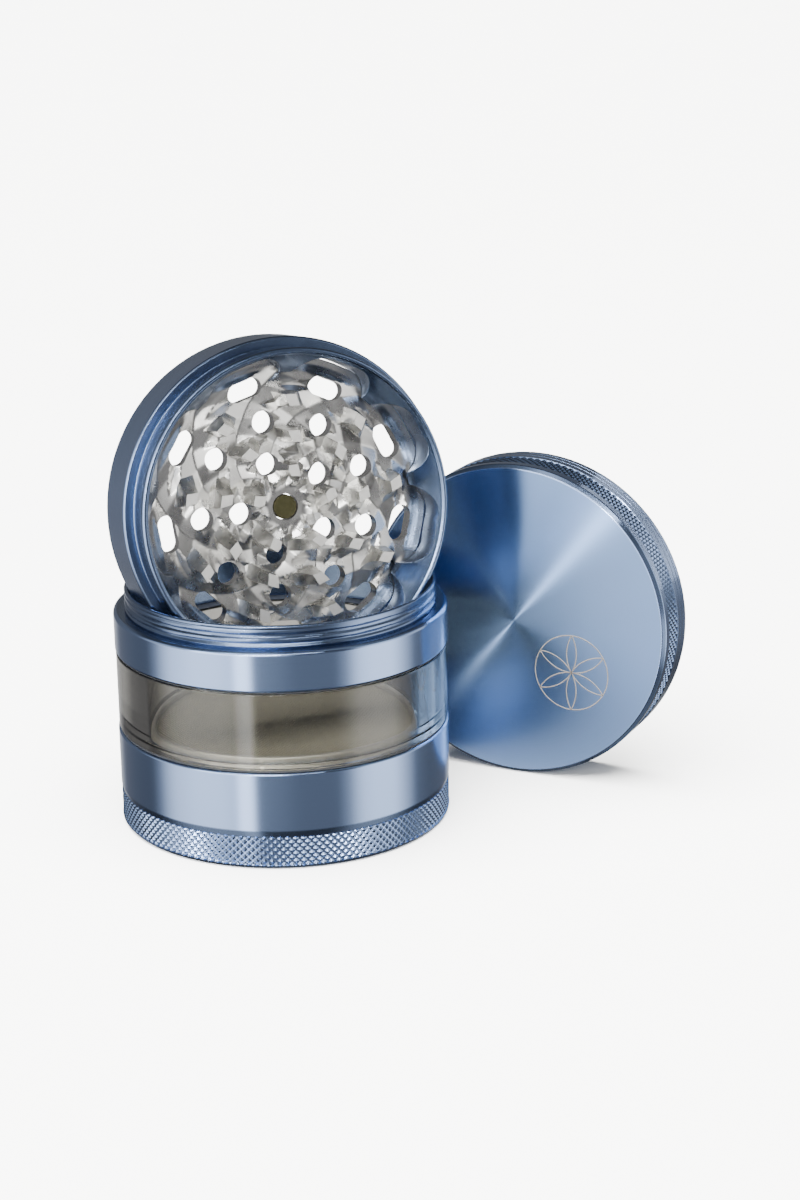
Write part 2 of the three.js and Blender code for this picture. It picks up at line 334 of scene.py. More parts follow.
def eased(corners, ease=None, steps=4):
    """Profile with rounded corners, from rows of radius, height and, if the row
    has one, its own rounding. Each corner P gives way to the curve
    (1 - s)^2 A + 2 s (1 - s) P + s^2 B between points A and B on its two sides.
    One more point further out on each side keeps the flats flat when shaded."""
    ease = sizes().edge / MM if ease is None else ease
    rounding = np.array([row[2] if len(row) > 2 else ease for row in corners])
    p = np.array([row[:2] for row in corners], float)
    if p[0, 0] == 0:
        rounding[[0, -1]] = 0
    back, ahead = np.roll(p, 1, 0) - p, np.roll(p, -1, 0) - p
    lengths = np.linalg.norm([back, ahead], axis=2)
    back, ahead = back / (lengths[0, :, None] + 1e-12), ahead / (lengths[1, :, None] + 1e-12)
    shorter = lengths.min(0)
    reach = np.minimum(rounding, 0.4 * shorter)
    guard = np.where(reach > 0, np.minimum(reach + 0.08, 0.47 * shorter), 0)[:, None]
    a, b = p + back * reach[:, None], p + ahead * reach[:, None]
    s = np.linspace(0, 1, steps + 1)[:, None, None]
    curve = (1 - s) ** 2 * a + 2 * s * (1 - s) * p + s ** 2 * b
    points = np.concatenate([[p + back * guard], curve, [p + ahead * guard]])
    points = points.transpose(1, 0, 2).reshape(-1, 2)
    fresh = np.linalg.norm(np.diff(points, axis=0, prepend=points[:1] - 1), axis=1) > 1e-5
    return points[fresh]


def spread(profile, columns):
    """Radius and height of a profile's points, repeated for every column."""
    return [np.repeat(profile[:, i:i + 1], columns, axis=1) for i in (0, 1)]


def stacked(*bands):
    """Bands of rows joined one above the other: each is a (radius, height) pair."""
    return [np.concatenate([band[i] for band in bands]) for i in (0, 1)]


def revolved(radius, height):
    """Surface of revolution about +Z. Point (k, i) lies radius[k, i] out and
    height[k, i] up, at i / columns of a turn. Rows run anticlockwise round the
    profile; a profile that starts and ends on the axis closes in two points,
    and any other closes on itself. U is the turn, V the way along in mm."""
    rows, columns = radius.shape
    angle = np.arange(columns) * TURN / columns
    points = np.stack([radius * np.cos(angle), radius * np.sin(angle), height], 2)
    mean = np.stack([radius.mean(1), height.mean(1)], 1)
    way = np.linalg.norm(np.diff(mean, axis=0, append=mean[:1]), axis=1).cumsum()
    way = np.concatenate([[0], way])
    i = np.arange(columns)
    j = (i + 1) % columns
    closed = radius[0, 0] > 0
    low = np.arange(rows) if closed else np.arange(1, rows - 2)
    base = 0 if closed else 1
    high = (low + 1) % rows if closed else low + 1
    at = [((row - base) * columns)[:, None] for row in (low, high)]
    quads = np.stack([at[0] + i, at[0] + j, at[1] + j, at[1] + i], 2).reshape(-1, 4)
    u = np.stack([i, i + 1, i + 1, i], 1) / columns
    v = np.stack([way[low], way[low], way[low + 1], way[low + 1]], 1)
    uv = np.stack([
        np.broadcast_to(u[None], (len(low), columns, 4)),
        np.broadcast_to(v[:, None], (len(low), columns, 4))], 3).reshape(-1, 4, 2)
    if closed:
        return points.reshape(-1, 3), [quads], [uv]
    body = points[1:-1].reshape(-1, 3)
    last = len(body)
    poles = np.array([[0, 0, height[0, 0]], [0, 0, height[-1, 0]]])
    top = (rows - 3) * columns
    fan_low = np.stack([np.full(columns, last), j, i], 1)
    fan_high = np.stack([top + i, top + j, np.full(columns, last + 1)], 1)
    middle = (i + 0.5) / columns
    low_uv = np.stack([
        np.stack([middle, (i + 1) / columns, i / columns], 1),
        np.broadcast_to([way[0], way[1], way[1]], (columns, 3))], 2)
    high_uv = np.stack([
        np.stack([i / columns, (i + 1) / columns, middle], 1),
        np.broadcast_to([way[-3], way[-3], way[-2]], (columns, 3))], 2)
    return (np.concatenate([body, poles]), [quads, fan_low, fan_high],
            [uv, low_uv, high_uv])


def joined(*surfaces):
    """Several surfaces as one."""
    offsets = np.cumsum([0] + [len(s[0]) for s in surfaces[:-1]])
    return (
        np.concatenate([s[0] for s in surfaces]),
        [faces + o for s, o in zip(surfaces, offsets) for faces in s[1]],
        [uv for s in surfaces for uv in s[2]])


def plain_uv(faces):
    """UVs of nought, for surfaces whose finish doesn't follow the turning."""
    return [np.zeros(f.shape + (2,)) for f in faces]


def prism(outlines, z0, z1):
    """Upright prisms between two heights. outlines is (prisms, points, 2), each
    anticlockwise and convex; each end is a fan round its middle point."""
    count, points, _ = outlines.shape
    middle = outlines.mean(1, keepdims=True)
    levels = [
        np.concatenate([xy, np.full(xy.shape[:2] + (1,), z)], 2)
        for xy, z in ((outlines, z0), (outlines, z1), (middle, z0), (middle, z1))]
    verts = np.concatenate(levels, 1)
    i = np.arange(points)
    j = (i + 1) % points
    hub = np.full(points, 2 * points)
    sides = np.stack([i, j, points + j, points + i], 1)
    fans = np.concatenate([
        np.stack([hub, j, i], 1), np.stack([hub + 1, points + i, points + j], 1)])
    step = (np.arange(count) * (2 * points + 2))[:, None, None]
    faces = [(f[None] + step).reshape(-1, f.shape[1]) for f in (sides, fans)]
    return verts.reshape(-1, 3), faces, plain_uv(faces)


def circle_of(row):
    """Centres and angles (radians) of a row of equal places round the axis."""
    count, radius, start = row
    angle = math.radians(start) + np.arange(count) * TURN / count
    return np.stack([radius * np.cos(angle), radius * np.sin(angle)], 1), angle


def discs(row, radius, points=40):
    """Round outlines of one radius at each place of a row."""
    centres, _ = circle_of(row)
    t = np.arange(points) * TURN / points
    return centres[:, None] + radius * np.stack([np.cos(t), np.sin(t)], 1)[None]


def round_ended(row, length, width, points=16):
    """Outlines of slots with round ends, lying along the circumference."""
    t = np.linspace(-math.pi / 2, math.pi / 2, points)
    half = (length - width) / 2
    right = np.stack([half + width / 2 * np.cos(t), width / 2 * np.sin(t)], 1)
    outline = np.concatenate([right, -right])
    centres, angle = circle_of(row)
    across = np.stack([-np.sin(angle), np.cos(angle)], 1)
    outward = -np.stack([np.cos(angle), np.sin(angle)], 1)
    return (centres[:, None] + outline[None, :, :1] * across[:, None]
            + outline[None, :, 1:] * outward[:, None])


def knurl_band(z0, z1, crest):
    """Diamond knurl as rows of radius and height. With a the turn in diamonds
    and b the height in diamonds, grooves run where a + b or a - b is whole; the
    radius is the crest less the depth times one minus the smaller distance from
    a groove, so that each diamond is a four-sided point with its tip taken off."""
    s = sizes()
    columns = s.knurl_count * KNURL_SAMPLES
    step = s.knurl_pitch / MM / KNURL_SAMPLES
    rows = round((z1 - z0) / step) + 1
    a = np.arange(columns) / KNURL_SAMPLES
    b = np.arange(rows)[:, None] / KNURL_SAMPLES
    land = np.minimum(*[2 * abs(x - np.round(x)) for x in (a + b, a - b)])
    radius = crest - s.knurl_depth / MM * (1 - np.minimum(land / 0.8, 1))
    height = np.linspace(z0, z1, rows)[:, None] + np.zeros(columns)
    return radius, height


def thread_band(z0, z1, crest, start, columns=COLUMNS, inner=False):
    """Right-hand thread as rows of radius and height. The radius swings from the
    crest by the thread's depth with a flattened cosine of (height - start) /
    pitch less the turn, and fades out over the last half millimetre of each end."""
    s = sizes()
    rows = round(abs(z1 - z0) / THREAD_STEP) + 1
    z = np.linspace(z0, z1, rows)[:, None]
    turn = np.arange(columns) / columns
    wave = 0.5 - 0.5 * np.cos(TURN * ((z - start) / (s.thread_pitch / MM) - turn))
    form = np.clip(1.5 * wave - 0.25, 0, 1)
    fade = np.clip(np.minimum(abs(z - z0), abs(z - z1)) / 0.5, 0, 1)
    depth = s.thread_depth / MM * (1 - form) * fade
    radius = crest + depth if inner else crest - depth
    return radius, z + np.zeros(columns)


def slot_reach(angle, half_straight, half_width):
    """How far out a ray from the axis leaves a round-ended slot centred SLOT_R
    out: where it meets the slot's long outer side, or failing that the circle
    at the slot's end, or nought where it misses both."""
    c, s = np.cos(angle), np.abs(np.sin(angle))
    flat = (SLOT_R + half_width) / np.maximum(c, 1e-6)
    on_side = (flat * s <= half_straight) & (c > 0)
    dot = SLOT_R * c + half_straight * s
    room = dot ** 2 - SLOT_R ** 2 - half_straight ** 2 + half_width ** 2
    curved = np.where(room > 0, dot + np.sqrt(np.maximum(room, 0)), 0)
    return np.where(on_side, flat, np.where(c > 0, curved, 0))


def fins(row, foot, tip, flip=1):
    """Shark-fin teeth on a circle. Along each tooth the height follows a table:
    a hollow ramp, a flat and an upright face. Its section is a trapezium whose
    top narrows by the taper times the height's share. It is sheared along by a
    share of its offset, and bends round the circle because a length along it over
    the radius is an angle. flip is -1 for teeth that point down."""
    along, share = np.transpose(TOOTH_RAMP)
    wide = np.interp(along, *np.transpose(TOOTH_HALF_WIDTHS))
    tall = foot + (tip - foot) * share
    top = np.minimum(wide - 0.1, TOOTH_HALF_WIDTHS[1][1] - TOOTH_TAPER * share)
    across = np.stack([-wide, wide, top, -top], 1)
    low = np.full(len(along), foot)
    z = np.stack([low, low, tall, tall], 1)
    length = along[:, None] + TOOTH_SHEAR * across
    count, radius, _ = row
    _, angle = circle_of(row)
    turn = angle[:, None, None] + flip * length / radius
    out = radius + across
    verts = np.stack([
        out * np.cos(turn), out * np.sin(turn), np.broadcast_to(flip * z, turn.shape)], 3)
    stations = len(along)
    k = np.arange(stations - 1)[:, None] * 4
    i = np.arange(4)
    j = (i + 1) % 4
    sides = np.stack([k + i, k + 4 + i, k + 4 + j, k + j], 2).reshape(-1, 4)
    last = 4 * (stations - 1)
    ends = np.array([[0, 1, 2, 3], [last + 3, last + 2, last + 1, last]])
    tooth = np.concatenate([sides, ends])
    step = (np.arange(count) * 4 * stations)[:, None, None]
    faces = [(tooth[None] + step).reshape(-1, 4)]
    return verts.reshape(-1, 3), faces, plain_uv(faces)


def outward(surface):
    """The surface with its faces turned round if its signed volume, the sum of
    each corner triple's determinant, is negative."""
    verts, faces, uvs = surface
    tris = np.concatenate([f[:, [0, i, i + 1]] for f in faces for i in range(1, f.shape[1] - 1)])
    a, b, c = (verts[tris[:, i]] for i in range(3))
    if (np.cross(a, b) * c).sum() < 0:
        faces = [f[:, ::-1] for f in faces]
        uvs = [uv[:, ::-1] for uv in uvs]
    return verts, faces, uvs


def ribbon(path, width, z0, z1, closed):
    """Flat strip of one width along a path of points: each point gives four
    corners, half the width to either side, low and high."""
    ahead = np.roll(path, -1, 0) - np.roll(path, 1, 0)
    if not closed:
        ahead[0], ahead[-1] = path[1] - path[0], path[-1] - path[-2]
    ahead /= np.linalg.norm(ahead, axis=1, keepdims=True)
    side = np.stack([-ahead[:, 1], ahead[:, 0]], 1) * width / 2
    left, right = path + side, path - side
    ring = [np.column_stack([xy, np.full(len(xy), z)])
            for xy, z in ((right, z0), (right, z1), (left, z1), (left, z0))]
    verts = np.stack(ring, 1).reshape(-1, 3)
    n = len(path)
    k = np.arange(n if closed else n - 1)[:, None]
    i = np.arange(4)
    j = (i + 1) % 4
    after = (k + 1) % n
    sides = np.stack([k * 4 + i, after * 4 + i, after * 4 + j, k * 4 + j], 2).reshape(-1, 4)
    last = 4 * (n - 1)
    ends = np.array([[0, 1, 2, 3], [last + 3, last + 2, last + 1, last]])
    faces = [sides if closed else np.concatenate([sides, ends])]
    return outward((verts, faces, plain_uv(faces)))


def floor_relief(out, turn):
    """Height of the ring's milled floor over its flat, at a distance out and a turn
    in radians. With tri(x) a zigzag that is 0 where x is half and 1 where x is
    whole, two families of ramps, tri of the turn in slots plus out over a drift
    and tri of out over the row distance, meet in facets because the lower one
    counts, and a third that twists the other way is taken off them."""
    slots = turn * SLOT_COUNT / TURN
    round_axis = 2 * abs((slots + out / RAMP_DRIFT) % 1 - 0.5)
    from_axis = 2 * abs((out / RAMP_ROW + RAMP_SHIFT) % 1 - 0.5)
    twist = 2 * abs((slots - out / TWIST_DRIFT + TWIST_SHIFT) % 1 - 0.5)
    rows = RAMP_SADDLE + (1 - RAMP_SADDLE) * from_axis
    ramps = RAMP_HEIGHT * np.minimum(round_axis, rows)
    (inner, inner_run), (outer, outer_run) = RAMP_FADES
    fade = np.clip((out - inner) / inner_run, 0, 1) * np.clip((outer - out) / outer_run, 0, 1)
    return (ramps - TWIST_HEIGHT * twist) * fade


def wire_layer(reach, pitch, radius, middle, turn):
    """One layer of straight wires side by side across a disc, turned about the
    axis: the wire at offset d runs from -sqrt(reach^2 - d^2) to the same beyond
    the middle, and its section is an even polygon round the wire's radius."""
    offset = np.arange(-reach + pitch, reach - pitch / 2, pitch)
    half = np.sqrt(reach ** 2 - offset ** 2)
    section = np.arange(WIRE_SIDES) * TURN / WIRE_SIDES
    across, up = radius * np.cos(section), radius * np.sin(section)
    ends = np.stack([-half, half], 1)[:, :, None] + np.zeros(WIRE_SIDES)
    side = offset[:, None, None] + across + np.zeros((1, 2, 1))
    verts = np.stack([
        ends * math.cos(turn) - side * math.sin(turn),
        ends * math.sin(turn) + side * math.cos(turn),
        np.broadcast_to(middle + up, ends.shape)], 3).reshape(-1, 3)
    i = np.arange(WIRE_SIDES)
    j = (i + 1) % WIRE_SIDES
    step = (np.arange(len(offset)) * 2 * WIRE_SIDES)[:, None, None]
    tubes = np.stack([i, i + WIRE_SIDES, j + WIRE_SIDES, j], 1)[None] + step
    caps = np.stack([i[::-1], i + WIRE_SIDES])[None] + step
    faces = [tubes.reshape(-1, 4), caps.reshape(-1, WIRE_SIDES)]
    return outward((verts, faces, plain_uv(faces)))


# ---- From surfaces to pieces

def mesh_of(name, surface, place):
    """A mesh in metres from a surface in millimetres and its placing."""
    verts, faces, uvs = surface
    verts = (verts @ place[:, :3].T + place[:, 3]) * MM
    loops = np.concatenate([f.ravel() for f in faces]).astype(np.int32)
    corners = np.concatenate([np.full(len(f), f.shape[1]) for f in faces])
    mesh = bpy.data.meshes.new(name)
    mesh.vertices.add(len(verts))
    mesh.vertices.foreach_set("co", verts.astype(np.float32).ravel())
    mesh.loops.add(len(loops))
    mesh.loops.foreach_set("vertex_index", loops)
    mesh.polygons.add(len(corners))
    starts = np.concatenate([[0], np.cumsum(corners)[:-1]]).astype(np.int32)
    mesh.polygons.foreach_set("loop_start", starts)
    mesh.update(calc_edges=True)
    layer = mesh.uv_layers.new(name="Turning")
    uv = np.concatenate([u.reshape(-1, 2) for u in uvs]).astype(np.float32)
    layer.data.foreach_set("uv", uv.ravel())
    return mesh


def shaded(mesh, angle):
    """Smooth shading, broken along edges sharper than an angle in degrees."""
    mesh.polygons.foreach_set("use_smooth", np.ones(len(mesh.polygons), bool))
    mesh.set_sharp_from_angle(angle=math.radians(angle))
    return mesh


def piece(name, mesh, body, materials, nodes=()):
    """Links a finished mesh as a piece that rides on a body."""
    obj = bpy.data.objects.new(name, mesh)
    bpy.context.scene.collection.objects.link(obj)
    mesh.materials.clear()
    for material in materials:
        mesh.materials.append(material)
    if nodes:
        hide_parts(*nodes)
    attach(obj, body)
    return obj


def turned_piece(name, rows, place, body, materials, nodes=(), angle=32):
    """A piece of revolution from its rows of radius and height."""
    mesh = shaded(mesh_of(name, revolved(*rows), place), angle)
    return piece(name, mesh, body, materials, nodes)


def faced(obj, place, height):
    """Gives the second material to the faces that lie at a height along the axis,
    to within a fiftieth of a millimetre."""
    centres = np.zeros(3 * len(obj.data.polygons), np.float32)
    obj.data.polygons.foreach_get("center", centres)
    along = (centres.reshape(-1, 3) / MM - place[:, 3]) @ place[:, 2]
    obj.data.polygons.foreach_set(
        "material_index", (abs(along - height) < 0.02).astype(np.int32))


def banded(obj, columns, *bands):
    """Gives rows of a turned piece's faces to material slots; each band is its
    first row, the row it ends before and its slot. Row k joins the profile's
    points k and k + 1, or k + 1 and k + 2 where the piece closes on the axis."""
    index = np.zeros(len(obj.data.polygons), np.int32)
    for first, last, slot in bands:
        index[first * columns:last * columns] = slot
    obj.data.polygons.foreach_set("material_index", index)


def carved(mesh, tool, operation):
    """The mesh after a boolean with a closed tool mesh."""
    pair = [bpy.data.objects.new("carving", m) for m in (mesh, tool)]
    for obj in pair:
        bpy.context.scene.collection.objects.link(obj)
    cut = pair[0].modifiers.new("cut", "BOOLEAN")
    cut.operation, cut.solver, cut.object = operation, "MANIFOLD", pair[1]
    bpy.context.view_layer.update()
    evaluated = pair[0].evaluated_get(bpy.context.evaluated_depsgraph_get())
    result = bpy.data.meshes.new_from_object(evaluated)
    for obj in pair:
        bpy.data.objects.remove(obj)
    if not len(result.polygons):
        raise RuntimeError(f"the {operation} left nothing")
    return result


# ---- Materials

def add_node(tree, kind, inputs=None, **settings):
    """Adds a node, applies its settings, and fills or links its inputs."""
    made = tree.nodes.new(kind)
    for key, value in settings.items():
        setattr(made, key, value)
    for key, value in (inputs or {}).items():
        if isinstance(value, bpy.types.NodeSocket):
            tree.links.new(value, made.inputs[key])
        else:
            made.inputs[key].default_value = value
    return made


def new_material(name):
    """An empty node material and its tree."""
    material = bpy.data.materials.get(name)
    if material is None:
        material = bpy.data.materials.new(name)
    material.use_nodes = True
    material.node_tree.nodes.clear()
    return material, material.node_tree


def turning_marks(tree, width):
    """Fine rings of differing shine, by how far along the profile they lie;
    width is the breadth of one ring in millimetres."""
    uv = add_node(tree, "ShaderNodeUVMap", uv_map="Turning").outputs[0]
    way = add_node(tree, "ShaderNodeSeparateXYZ", {0: uv}).outputs[1]
    return add_node(tree, "ShaderNodeTexNoise", {
        "W": way, "Scale": 1 / width, "Detail": 3.0, "Roughness": 0.65,
    }, noise_dimensions="1D").outputs[0]


def cloud(tree, size, detail=3.0):
    """Soft unevenness; size is the breadth of a patch in millimetres."""
    place = add_node(tree, "ShaderNodeTexCoord").outputs["Object"]
    return add_node(tree, "ShaderNodeTexNoise", {
        "Vector": place, "Scale": 1 / (size * MM), "Detail": detail}).outputs[0]


def mottled(tree, pattern, colour, shades, shine):
    """Base colour and roughness that follow one pattern from 0 to 1: the colour
    runs between two shares of itself and the roughness between two values."""
    dark, light = ([min(c * share, 1) for c in colour] + [1] for share in shades)
    base = add_node(tree, "ShaderNodeMix", {"Factor": pattern, "A": dark, "B": light},
                    data_type="RGBA")
    rough = add_node(tree, "ShaderNodeMapRange", {
        "Value": pattern, "To Min": shine[0], "To Max": shine[1]})
    return {"Base_Color": base.outputs[2], "Roughness": rough.outputs[0]}


def finished(tree, **inputs):
    """Closes a material with one Principled shader."""
    keys = {key.replace("_", " "): value for key, value in inputs.items()}
    shader = add_node(tree, "ShaderNodeBsdfPrincipled", keys)
    add_node(tree, "ShaderNodeOutputMaterial", {"Surface": shader.outputs[0]})


def turned_anodised(name, colour, rough, stretch, marks):
    """Anodised aluminium, fine-turned: a dyed blue film over metal whose turning
    rings spread light across them and give long streaks. marks is the width of a
    ring in millimetres, coarser than a real tool's feed so that the rings show."""
    material, tree = new_material(name)
    rings = turning_marks(tree, marks)
    tangent = add_node(tree, "ShaderNodeTangent", direction_type="UV_MAP", uv_map="Turning")
    finished(
        tree,
        **mottled(tree, rings, colour, (0.94, 1.06), (rough * 0.94, rough * 1.06)),
        Metallic=1.0,
        Anisotropic=stretch,
        Anisotropic_Rotation=0.25,
        Tangent=tangent.outputs[0],
        Coat_Weight=0.25,
        Coat_Roughness=0.16,
    )
    return material


def wall_finish():
    """Turned finish of the plain walls, its rings a quarter of a millimetre wide."""
    return turned_anodised("anodised_turned", colours().anodised, 0.2, 0.8, 0.25)


def shaded_face_finish():
    """Turned finish of the lid's face: finer rings, which spread a lamp's light
    into a streak that runs through the middle. Its colour, a darker copy of the
    anodised blue, is painted shade on the face."""
    return turned_anodised("anodised_faced_shaded", colours().face, 0.31, 1.0, 0.15)


def knurled_anodised(name):
    """Anodised aluminium, knurled: pressed rather than cut, so that each diamond
    gleams on its own and no streaks run across them."""
    material, tree = new_material(name)
    patches = cloud(tree, 1)
    finished(
        tree,
        **mottled(tree, patches, colours().anodised, (0.85, 1.0), (0.18, 0.28)),
        Metallic=1.0,
    )
    return material


def faced_aluminium(name):
    """Bare aluminium, faced: the dull, pale flat that the teeth were cut out of,
    still to be seen on their tops."""
    material, tree = new_material(name)
    patches = cloud(tree, 0.7)
    finished(
        tree,
        **mottled(tree, patches, colours().machined, (0.8, 0.92), (0.36, 0.46)),
        Metallic=0.85,
    )
    return material


def blasted_aluminium(name):
    """Bead-blasted aluminium: an even, dull silver that keeps the clamp ring apart
    from the darker wires."""
    material, tree = new_material(name)
    patches = cloud(tree, 0.8)
    finished(
        tree,
        **mottled(tree, patches, colours().machined, (0.5, 0.65), (0.38, 0.5)),
        Metallic=0.8,
    )
    return material


def shaded_bright_anodised(name):
    """Anodised aluminium cut with a polished tool: smoother, so that it mirrors what
    is next to it. Its colour, the anodised blue at half to two thirds, is painted
    shade on the ring's lip and inner wall and on the collar's lip and mouth."""
    material, tree = new_material(name)
    patches = cloud(tree, 4)
    finished(
        tree,
        # Half to two thirds of the anodised colour: painted shade
        **mottled(tree, patches, colours().anodised, (0.5, 0.66), (0.2, 0.28)),
        Metallic=1.0,
        Coat_Weight=0.3,
        Coat_Roughness=0.08,
    )
    return material


def milled_aluminium(name):
    """Bare aluminium straight from the mill: bright, with cutter marks about
    0.3 mm apart that make its facets gleam unevenly."""
    material, tree = new_material(name)
    place = add_node(tree, "ShaderNodeTexCoord").outputs["Object"]
    turned = add_node(tree, "ShaderNodeMapping", {
        "Vector": place, "Rotation": (0.3, 0.5, 0.9)}).outputs[0]
    swirl = add_node(tree, "ShaderNodeTexWave", {
        "Vector": turned, "Scale": 0.5 / (0.3 * MM) / TURN, "Distortion": 6.0, "Detail": 2.0,
        "Detail Scale": 0.6}).outputs["Fac"]
    patches = cloud(tree, 2.5)
    bump = add_node(tree, "ShaderNodeBump", {
        "Strength": 0.12, "Distance": 0.04 * MM, "Height": swirl})
    finished(
        tree,
        **mottled(tree, patches, colours().machined, (0.8, 1.05), (0.22, 0.34)),
        Metallic=1.0,
        Normal=bump.outputs[0],
    )
    return material


def screen_steel(name):
    """Stainless steel wire, drawn and woven, dulled by dust: grey with an olive
    cast, and much the same from every side."""
    material, tree = new_material(name)
    patches = cloud(tree, 1.2)
    finished(
        tree,
        **mottled(tree, patches, colours().wire, (0.75, 1.05), (0.4, 0.55)),
        Metallic=0.6,
    )
    return material


def seal_rubber(name):
    """Nitrile rubber sheet: nearly black, matt, with a faint bloom."""
    material, tree = new_material(name)
    patches = cloud(tree, 1.5)
    finished(
        tree,
        **mottled(tree, patches, colours().rubber, (0.7, 1.6), (0.55, 0.75)),
        IOR=1.52,
    )
    return material


def nickel_plate(name):
    """Nickel-plated magnet, dulled by oil: dark with an olive tinge."""
    material, tree = new_material(name)
    patches = cloud(tree, 0.8)
    finished(
        tree,
        **mottled(tree, patches, colours().magnet, (0.7, 1.4), (0.3, 0.5)),
        Metallic=0.7,
    )
    return material


def engraved_line(name):
    """Laser-etched line: the dye burnt off to a dry pale oxide."""
    material, tree = new_material(name)
    patches = cloud(tree, 0.6)
    finished(
        tree,
        **mottled(tree, patches, colours().mark, (0.85, 1.1), (0.5, 0.7)),
        Metallic=0.25,
    )
    return material


def window_glass(name):
    """Thick soda-lime glass tube, fire-polished and lightly smoked: warm grey, and
    deeper towards its sides, partly because the light goes further through it
    there and partly as painted shade for the dark reflections its sides show. It
    throws a light shadow, as clear glass does, so that the chamber isn't dark."""
    material, tree = new_material(name)
    smear = add_node(tree, "ShaderNodeMapRange", {
        "Value": cloud(tree, 6), "To Min": 0.0, "To Max": 0.03})
    edge = add_node(tree, "ShaderNodeLayerWeight", {"Blend": 0.7}).outputs["Facing"]
    # Towards the side colour where the wall is seen edge on: partly the longer path, partly
    # painted shade
    depth = add_node(tree, "ShaderNodeMix", {
        "Factor": edge, "A": [*colours().glass, 1], "B": [*colours().glass_side_shade, 1]},
        data_type="RGBA")
    shader = add_node(tree, "ShaderNodeBsdfPrincipled", {
        "Base Color": depth.outputs[2], "Roughness": smear.outputs[0],
        "IOR": 1.5, "Transmission Weight": 1.0})
    clear = add_node(tree, "ShaderNodeBsdfTransparent", {
        "Color": [*colours().glass_shadow, 1]})
    path = add_node(tree, "ShaderNodeLightPath")
    both = add_node(tree, "ShaderNodeMixShader", {
        0: path.outputs["Is Shadow Ray"], 1: shader.outputs[0], 2: clear.outputs[0]})
    add_node(tree, "ShaderNodeOutputMaterial", {"Surface": both.outputs[0]})
    return material


def pale_floor(name):
    """White laminate table, matt and almost even, so that only soft shadows show."""
    material, tree = new_material(name)
    dark, light = ([c * share for c in colours().floor] + [1] for share in (0.97, 1.0))
    tint = add_node(tree, "ShaderNodeMix", {
        "Factor": cloud(tree, 120), "A": dark, "B": light}, data_type="RGBA")
    finished(tree, Base_Color=tint.outputs[2], Roughness=0.9)
    return material


# ---- Operators

class Builder(bpy.types.Operator):
    """Shared options of the grinder's operators."""

    bl_idname = "grinder.builder"
    bl_label = "Grinder piece"
    bl_options = {"REGISTER", "UNDO"}


class GRINDER_OT_cup(Builder):
    """Collecting cup: closed foot, knurled band, plain wall and a rounded bowl."""

    bl_idname = "grinder.cup"
    bl_label = "Cup"

    def execute(self, context):
        columns = sizes().knurl_count * KNURL_SAMPLES
        foot = eased([
            (0, 0.3), (26.5, 0.3), (27.2, 0), (OUTER_R - 0.7, 0), (OUTER_R, 0.7, 0.1)])
        wall = eased([
            (31.2, 6.15, 0), (31.28, 6.3, 0.05), (OUTER_R, 7.35, 0.2),
            (OUTER_R, CUP_TOP - 0.3), (OUTER_R - 0.3, CUP_TOP), (29.65, CUP_TOP),
            (29.3, CUP_TOP - 0.35), (29.3, 13.4), (27.5, 12.9), (27.5, 5.5, 2.5),
            (26.2, 3.2, 1.5), (22, 2.5, 2), (0, 2.5)])
        foot = np.concatenate([foot[:-1], [[OUTER_R, 0.72]]])
        knurl = knurl_band(0.82, 6.1, KNURL_R)
        rows = stacked(spread(foot, columns), knurl, spread(wall, columns))
        obj = turned_piece(
            "cup_body", rows, UPRIGHT, "cup",
            [wall_finish(), knurled_anodised("anodised_knurled")],
            ["base_cup"])
        first = len(foot) - 2
        last = first + len(knurl[0]) + 1
        banded(obj, columns, (first, last, 1))
        return {"FINISHED"}


class GRINDER_OT_seals(Builder):
    """Flat rubber seals under and over the glass."""

    bl_idname = "grinder.seals"
    bl_label = "Seals"

    def execute(self, context):
        rubber = seal_rubber("seal_rubber")
        for name, node, body, inner in (
                ("cup_flat_seal", "cup_seal", "seal", 29.4),
                ("window_flat_seal", "window_seal", "chamber", 26.2)):
            low, high = (corner.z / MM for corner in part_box(node))
            rows = spread(eased([
                (inner, low), (SEAL_R, low), (SEAL_R, high), (inner, high)], 0.05), COLUMNS)
            turned_piece(name, rows, UPRIGHT, body, [rubber], [node])
        return {"FINISHED"}


